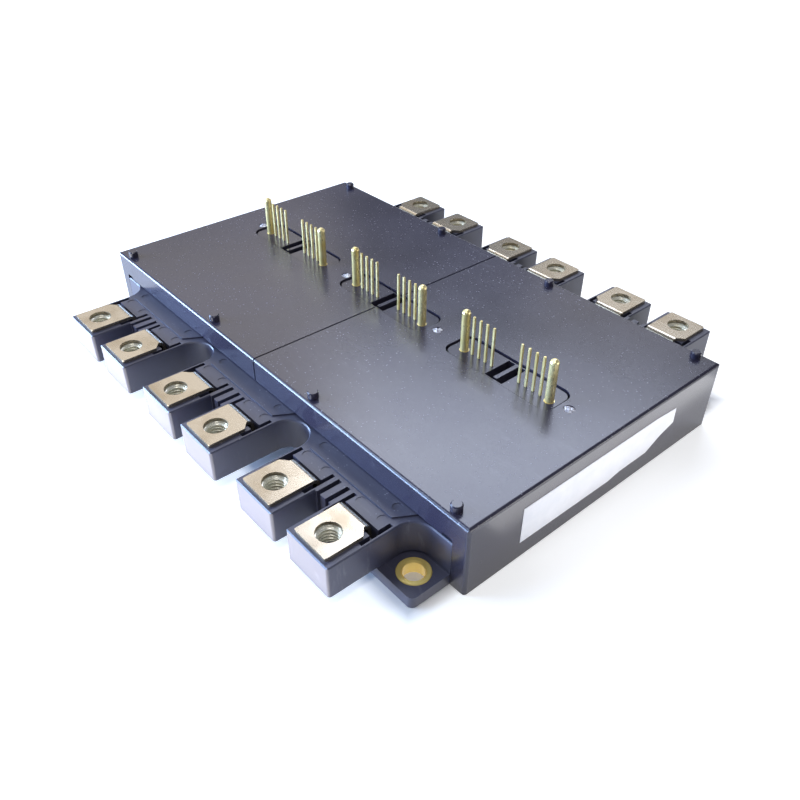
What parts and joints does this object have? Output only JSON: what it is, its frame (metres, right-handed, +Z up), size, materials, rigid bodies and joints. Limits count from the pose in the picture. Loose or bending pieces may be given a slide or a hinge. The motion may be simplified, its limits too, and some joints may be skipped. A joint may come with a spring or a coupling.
{
  "type": "igbt module",
  "caption": "Flat power semiconductor module with a dark plastic case, rows of bolted terminals along the long sides, gold pin connectors on top and mounting feet at the corners",
  "frame": {"origin": "middle of the base plate's underside, on the heat sink's surface", "axes": "+X along the terminal rows towards the end wall with the label, +Y across the module, +Z up out of the lid"},
  "size_m": [0.1721, 0.15, 0.0342],
  "materials": {
    "frame_plastic": "satin",
    "cover_plastic": "satin",
    "connector_plastic": "satin",
    "terminal_metal": "satin",
    "base_metal": "satin",
    "nut_steel": "satin",
    "bush_brass": "satin",
    "pin_metal": "polished",
    "substrate": "matte",
    "chip": "gloss",
    "wire": "satin",
    "gel": "gloss",
    "board": "satin",
    "driver_plastic": "matte",
    "label": "matte"
  },
  "bodies": {
    "root": {"base_plate": "base_metal", "case_frame": "frame_plastic", "cover_left": "cover_plastic", "cover_right": "cover_plastic", "terminal_1": "terminal_metal", "terminal_2": "terminal_metal", "terminal_3": "terminal_metal", "terminal_4": "terminal_metal", "terminal_5": "terminal_metal", "terminal_6": "terminal_metal", "terminal_7": "terminal_metal", "terminal_8": "terminal_metal", "terminal_9": "terminal_metal", "terminal_10": "terminal_metal", "terminal_11": "terminal_metal", "terminal_12": "terminal_metal", "nut_1": "nut_steel", "nut_2": "nut_steel", "nut_3": "nut_steel", "nut_4": "nut_steel", "nut_5": "nut_steel", "nut_6": "nut_steel", "nut_7": "nut_steel", "nut_8": "nut_steel", "nut_9": "nut_steel", "nut_10": "nut_steel", "nut_11": "nut_steel", "nut_12": "nut_steel", "mount_bush_1": "bush_brass", "mount_bush_2": "bush_brass", "mount_bush_3": "bush_brass", "mount_bush_4": "bush_brass", "connector_1": "connector_plastic", "connector_2": "connector_plastic", "connector_3": "connector_plastic", "guide_pins_1": "pin_metal", "guide_pins_2": "pin_metal", "guide_pins_3": "pin_metal", "signal_pins_1": "pin_metal", "signal_pins_2": "pin_metal", "signal_pins_3": "pin_metal", "substrate_1": "substrate", "substrate_2": "substrate", "substrate_3": "substrate", "substrate_4": "substrate", "substrate_5": "substrate", "substrate_6": "substrate", "igbt_chips": "chip", "diode_chips": "chip", "bond_wires": "wire", "gate_posts": "wire", "silicone_gel": "gel", "control_board": "board", "driver_chips": "driver_plastic", "end_label": "label"}
  },
  "joints": []
}
